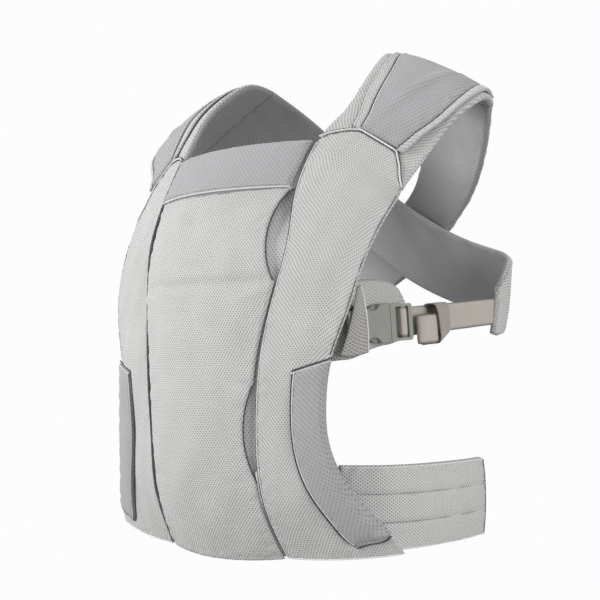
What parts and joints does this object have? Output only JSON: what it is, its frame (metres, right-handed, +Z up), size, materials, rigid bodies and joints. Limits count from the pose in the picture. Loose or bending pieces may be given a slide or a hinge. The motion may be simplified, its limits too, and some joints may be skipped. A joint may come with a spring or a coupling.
{
  "type": "soft baby carrier",
  "caption": "Front-worn soft baby carrier in air mesh: panel with head support, wings and leg pads, crossed padded shoulder straps, waistband and side release buckles.",
  "frame": {"origin": "middle of the wearer's torso, level with the lower edge of the waistband", "axes": "+X to the wearer's left, +Y to the wearer's back, +Z up; the carrier is in its worn shape"},
  "size_m": [0.4824, 0.4111, 0.562],
  "materials": {
    "air_mesh_light": "light grey three-dimensional air mesh knit, matt",
    "spacer_mesh_dark": "darker grey perforated spacer mesh, matt",
    "lining_mesh": "perforated lining mesh, matt",
    "webbing": "greige polyester webbing, faint sheen",
    "elastic_band": "woven elastic, matt",
    "buckle_plastic": "moulded grey-green plastic, fine texture"
  },
  "bodies": {
    "carrier": {"center_panel": "air_mesh_light", "inner_lining": "lining_mesh", "left_back_strap": "air_mesh_light", "left_buckle_pad": "air_mesh_light", "left_buckle_sleeve": "spacer_mesh_dark", "left_buckle_socket": "buckle_plastic", "left_leg_pad": "spacer_mesh_dark", "left_shoulder_pad": "spacer_mesh_dark", "left_shoulder_strap": "air_mesh_light", "left_side_panel": "air_mesh_light", "left_side_webbing": "webbing", "left_waist_webbing": "webbing", "left_waistband_arm": "air_mesh_light", "left_webbing_anchor": "webbing", "left_wing": "air_mesh_light", "right_back_strap": "air_mesh_light", "right_buckle_pad": "air_mesh_light", "right_buckle_sleeve": "spacer_mesh_dark", "right_buckle_socket": "buckle_plastic", "right_leg_pad": "spacer_mesh_dark", "right_shoulder_pad": "spacer_mesh_dark", "right_shoulder_strap": "air_mesh_light", "right_side_panel": "air_mesh_light", "right_side_webbing": "webbing", "right_waist_webbing": "webbing", "right_waistband_arm": "air_mesh_light", "right_webbing_anchor": "webbing", "right_wing": "air_mesh_light", "waist_buckle_socket": "buckle_plastic", "waist_webbing_anchor": "webbing", "waistband_front": "air_mesh_light"},
    "left_plug": {"left_buckle_plug": "buckle_plastic", "left_webbing_wrap": "webbing", "left_webbing_roll": "webbing"},
    "left_prong_a": {"left_buckle_prong_a": "buckle_plastic"},
    "left_prong_b": {"left_buckle_prong_b": "buckle_plastic"},
    "left_keeper": {"left_webbing_keeper": "elastic_band"},
    "right_plug": {"right_buckle_plug": "buckle_plastic", "right_webbing_wrap": "webbing", "right_webbing_roll": "webbing"},
    "right_prong_a": {"right_buckle_prong_a": "buckle_plastic"},
    "right_prong_b": {"right_buckle_prong_b": "buckle_plastic"},
    "right_keeper": {"right_webbing_keeper": "elastic_band"},
    "waist_plug": {"waist_buckle_plug": "buckle_plastic", "waist_webbing_wrap": "webbing"},
    "waist_prong_a": {"waist_buckle_prong_a": "buckle_plastic"},
    "waist_prong_b": {"waist_buckle_prong_b": "buckle_plastic"},
    "head_flap": {"head_support": "spacer_mesh_dark"}
  },
  "joints": [
    {"name": "left_buckle_release", "type": "slide", "parent": "carrier", "child": "left_plug", "axis": [0.173, 0.9811, 0.087], "range_m": [0, 0.032], "deforming": ["left_buckle_prong_a", "left_buckle_prong_b", "left_side_webbing"]},
    {"name": "left_prong_a_squeeze", "type": "hinge", "parent": "left_plug", "child": "left_prong_a", "pos_m": [0.17316, -0.06766, 0.2328], "axis": [-0.9848, 0.1737, 0.0001], "range_deg": [0, 10.5], "stiffness_Nm_per_rad": 1.6},
    {"name": "left_prong_b_squeeze", "type": "hinge", "parent": "left_plug", "child": "left_prong_b", "pos_m": [0.1729, -0.06914, 0.25003], "axis": [0.9848, -0.1737, -0.0001], "range_deg": [0, 10.5], "stiffness_Nm_per_rad": 1.6},
    {"name": "left_keeper_slide", "type": "slide", "parent": "left_plug", "child": "left_keeper", "axis": [-0.0073, 0.9948, 0.1016], "range_m": [0, 0.05]},
    {"name": "right_buckle_release", "type": "slide", "parent": "carrier", "child": "right_plug", "axis": [-0.173, 0.9811, 0.087], "range_m": [0, 0.032], "deforming": ["right_buckle_prong_a", "right_buckle_prong_b", "right_side_webbing"]},
    {"name": "right_prong_a_squeeze", "type": "hinge", "parent": "right_plug", "child": "right_prong_a", "pos_m": [-0.1729, -0.06914, 0.25003], "axis": [0.9848, 0.1737, 0.0001], "range_deg": [0, 10.5], "stiffness_Nm_per_rad": 1.6},
    {"name": "right_prong_b_squeeze", "type": "hinge", "parent": "right_plug", "child": "right_prong_b", "pos_m": [-0.17316, -0.06766, 0.2328], "axis": [-0.9848, -0.1737, -0.0001], "range_deg": [0, 10.5], "stiffness_Nm_per_rad": 1.6},
    {"name": "right_keeper_slide", "type": "slide", "parent": "right_plug", "child": "right_keeper", "axis": [0.0073, 0.9948, 0.1016], "range_m": [0, 0.05]},
    {"name": "waist_buckle_release", "type": "slide", "parent": "carrier", "child": "waist_plug", "axis": [1, 0, 0], "range_m": [0, 0.032], "deforming": ["waist_buckle_prong_a", "waist_buckle_prong_b", "left_waist_webbing"]},
    {"name": "waist_prong_a_squeeze", "type": "hinge", "parent": "waist_plug", "child": "waist_prong_a", "pos_m": [0.0002, 0.168, 0.06165], "axis": [0, -1, 0], "range_deg": [0, 10.5], "stiffness_Nm_per_rad": 1.6},
    {"name": "waist_prong_b_squeeze", "type": "hinge", "parent": "waist_plug", "child": "waist_prong_b", "pos_m": [0.0002, 0.168, 0.04435], "axis": [0, 1, 0], "range_deg": [0, 10.5], "stiffness_Nm_per_rad": 1.6},
    {"name": "head_support_fold", "type": "hinge", "parent": "carrier", "child": "head_flap", "pos_m": [0, -0.1535, 0.3835], "axis": [1, 0, 0], "range_deg": [0, 40]}
  ],
  "couplings": [
    {"joint": "left_prong_b_squeeze", "follows": "left_prong_a_squeeze", "ratio": 1},
    {"joint": "right_prong_b_squeeze", "follows": "right_prong_a_squeeze", "ratio": 1},
    {"joint": "waist_prong_b_squeeze", "follows": "waist_prong_a_squeeze", "ratio": 1}
  ]
}
